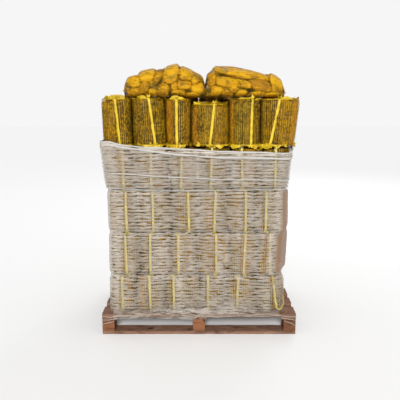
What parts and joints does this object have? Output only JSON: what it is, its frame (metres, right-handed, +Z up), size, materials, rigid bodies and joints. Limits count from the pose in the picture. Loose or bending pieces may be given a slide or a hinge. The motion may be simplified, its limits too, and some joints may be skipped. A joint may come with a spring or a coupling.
{
  "type": "pallet load of bagged firewood",
  "caption": "Split firewood in yellow net bags stacked on a wooden block pallet, the lower layers held in stretch film, with a loose layer and lying bags on top.",
  "frame": {"origin": "on the floor under the middle of the pallet", "axes": "+Z up, +X to the right along the pallet's long side, -Y towards the front of the load"},
  "size_m": [1.2, 0.8046, 1.6286],
  "materials": {
    "pallet_boards": "rough sawn softwood, weathered reddish brown",
    "pallet_blocks": "rough sawn end grain, orange brown",
    "loose_firewood": "split logs seen through a yellow knitted net",
    "lying_firewood": "split logs and cut ends in a doubled yellow net",
    "wrapped_firewood": "split logs in yellow nets, greyed by the film over them",
    "film": "clear stretch film in ribbed, overlapping turns"
  },
  "bodies": {
    "root": {"bottom_board_front": "pallet_boards", "bottom_board_middle": "pallet_boards", "bottom_board_back": "pallet_boards", "block_front_left": "pallet_blocks", "block_front_centre": "pallet_blocks", "block_front_right": "pallet_blocks", "block_middle_left": "pallet_blocks", "block_middle_centre": "pallet_blocks", "block_middle_right": "pallet_blocks", "block_back_left": "pallet_blocks", "block_back_centre": "pallet_blocks", "block_back_right": "pallet_blocks", "stringer_left": "pallet_boards", "stringer_centre": "pallet_boards", "stringer_right": "pallet_boards", "deck_board_1": "pallet_boards", "deck_board_2": "pallet_boards", "deck_board_3": "pallet_boards", "deck_board_4": "pallet_boards", "deck_board_5": "pallet_boards", "wrapped_layer_1": "wrapped_firewood", "wrapped_layer_2": "wrapped_firewood", "wrapped_layer_3": "wrapped_firewood", "wrapped_layer_4": "wrapped_firewood", "stretch_film": "film", "bag_row1_1": "loose_firewood", "bag_row1_2": "loose_firewood", "bag_row1_3": "loose_firewood", "bag_row1_4": "loose_firewood", "bag_row1_5": "loose_firewood", "bag_row1_6": "loose_firewood", "bag_row2_1": "loose_firewood", "bag_row2_2": "loose_firewood", "bag_row2_3": "loose_firewood", "bag_row2_4": "loose_firewood", "bag_row2_5": "loose_firewood", "bag_row2_6": "loose_firewood", "bag_row3_1": "loose_firewood", "bag_row3_2": "loose_firewood", "bag_row3_3": "loose_firewood", "bag_row3_4": "loose_firewood", "bag_row3_5": "loose_firewood", "bag_row3_6": "loose_firewood", "bag_row4_1": "loose_firewood", "bag_row4_2": "loose_firewood", "bag_row4_3": "loose_firewood", "bag_row4_4": "loose_firewood", "bag_row4_5": "loose_firewood", "bag_row4_6": "loose_firewood", "lying_bag_left": "lying_firewood", "lying_bag_right": "lying_firewood"}
  },
  "joints": []
}
